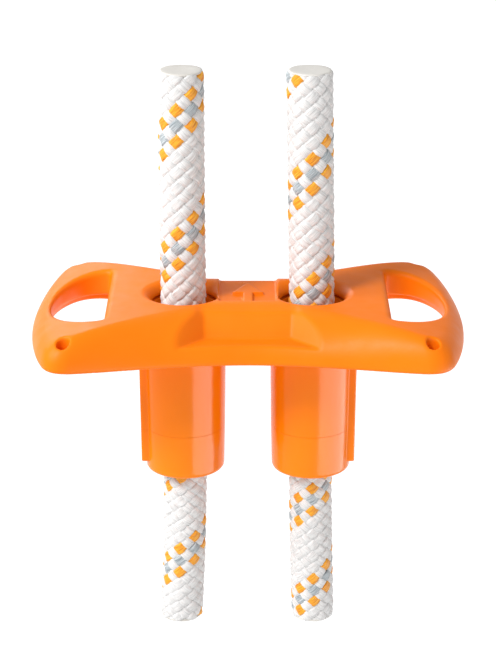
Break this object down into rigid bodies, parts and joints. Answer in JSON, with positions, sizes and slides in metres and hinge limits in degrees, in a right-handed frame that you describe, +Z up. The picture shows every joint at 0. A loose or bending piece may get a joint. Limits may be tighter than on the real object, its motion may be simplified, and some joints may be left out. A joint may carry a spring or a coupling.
{
  "type": "rope grab",
  "caption": "Double-rope grab: a moulded yoke plate with a D-shaped slot at each end carries two sleeves, and a braided rope runs through sprung wedge jaws in each sleeve.",
  "frame": {"origin": "on the deck of the yoke plate, midway between the two rope axes", "axes": "+X along the plate towards the right rope, -Y the front, +Z up the ropes"},
  "size_m": [0.1026, 0.0622, 0.1404],
  "materials": {
    "yoke_plastic": "moulded, semi-gloss, fine texture",
    "sleeve_plastic": "moulded, semi-gloss",
    "cup_steel": "turned",
    "jaw_steel": "hardened, grooved bore",
    "spring_steel": "drawn wire",
    "screw_steel": "plain stainless",
    "rope_sheath": "braided polyamide sheath, white with orange and grey tracers"
  },
  "bodies": {
    "housing": {"yoke_shell": "yoke_plastic", "bottom_cover": "yoke_plastic", "cover_screw_front_left": "screw_steel", "cover_screw_front_centre": "screw_steel", "cover_screw_front_right": "screw_steel", "cover_screw_back_left": "screw_steel", "cover_screw_back_centre": "screw_steel", "cover_screw_back_right": "screw_steel", "sleeve_left": "sleeve_plastic", "nose_cap_left": "sleeve_plastic", "guide_bush_left": "sleeve_plastic", "taper_cup_left": "cup_steel", "spring_left": "spring_steel", "sleeve_right": "sleeve_plastic", "nose_cap_right": "sleeve_plastic", "guide_bush_right": "sleeve_plastic", "taper_cup_right": "cup_steel", "spring_right": "spring_steel"},
    "rope_body_left": {"rope_left": "rope_sheath"},
    "pusher_body_left": {"pusher_ring_left": "cup_steel"},
    "jaw_body_left_1": {"jaw_left_1": "jaw_steel"},
    "jaw_body_left_2": {"jaw_left_2": "jaw_steel"},
    "jaw_body_left_3": {"jaw_left_3": "jaw_steel"},
    "rope_body_right": {"rope_right": "rope_sheath"},
    "pusher_body_right": {"pusher_ring_right": "cup_steel"},
    "jaw_body_right_1": {"jaw_right_1": "jaw_steel"},
    "jaw_body_right_2": {"jaw_right_2": "jaw_steel"},
    "jaw_body_right_3": {"jaw_right_3": "jaw_steel"}
  },
  "joints": [
    {"name": "rope_slide_left", "type": "slide", "parent": "housing", "child": "rope_body_left", "axis": [0, 0, 1], "range_m": [-0.02, 0.02]},
    {"name": "pusher_slide_left", "type": "slide", "parent": "housing", "child": "pusher_body_left", "axis": [0, 0, -1], "range_m": [0, 0.004], "stiffness_N_per_m": 500, "springref_m": -0.006, "deforming": ["spring_left"]},
    {"name": "jaw_slide_left_1", "type": "slide", "parent": "housing", "child": "jaw_body_left_1", "axis": [-0.0479, 0, -0.9989], "range_m": [0, 0.00401]},
    {"name": "jaw_slide_left_2", "type": "slide", "parent": "housing", "child": "jaw_body_left_2", "axis": [0.0239, -0.0415, -0.9989], "range_m": [0, 0.00401]},
    {"name": "jaw_slide_left_3", "type": "slide", "parent": "housing", "child": "jaw_body_left_3", "axis": [0.0239, 0.0415, -0.9989], "range_m": [0, 0.00401]},
    {"name": "rope_slide_right", "type": "slide", "parent": "housing", "child": "rope_body_right", "axis": [0, 0, 1], "range_m": [-0.02, 0.02]},
    {"name": "pusher_slide_right", "type": "slide", "parent": "housing", "child": "pusher_body_right", "axis": [0, 0, -1], "range_m": [0, 0.004], "stiffness_N_per_m": 500, "springref_m": -0.006, "deforming": ["spring_right"]},
    {"name": "jaw_slide_right_1", "type": "slide", "parent": "housing", "child": "jaw_body_right_1", "axis": [0.0479, 0, -0.9989], "range_m": [0, 0.00401]},
    {"name": "jaw_slide_right_2", "type": "slide", "parent": "housing", "child": "jaw_body_right_2", "axis": [-0.0239, 0.0415, -0.9989], "range_m": [0, 0.00401]},
    {"name": "jaw_slide_right_3", "type": "slide", "parent": "housing", "child": "jaw_body_right_3", "axis": [-0.0239, -0.0415, -0.9989], "range_m": [0, 0.00401]}
  ],
  "couplings": [
    {"joint": "jaw_slide_left_1", "follows": "pusher_slide_left", "ratio": 1.0011},
    {"joint": "jaw_slide_left_2", "follows": "pusher_slide_left", "ratio": 1.0011},
    {"joint": "jaw_slide_left_3", "follows": "pusher_slide_left", "ratio": 1.0011},
    {"joint": "jaw_slide_right_1", "follows": "pusher_slide_right", "ratio": 1.0011},
    {"joint": "jaw_slide_right_2", "follows": "pusher_slide_right", "ratio": 1.0011},
    {"joint": "jaw_slide_right_3", "follows": "pusher_slide_right", "ratio": 1.0011}
  ]
}
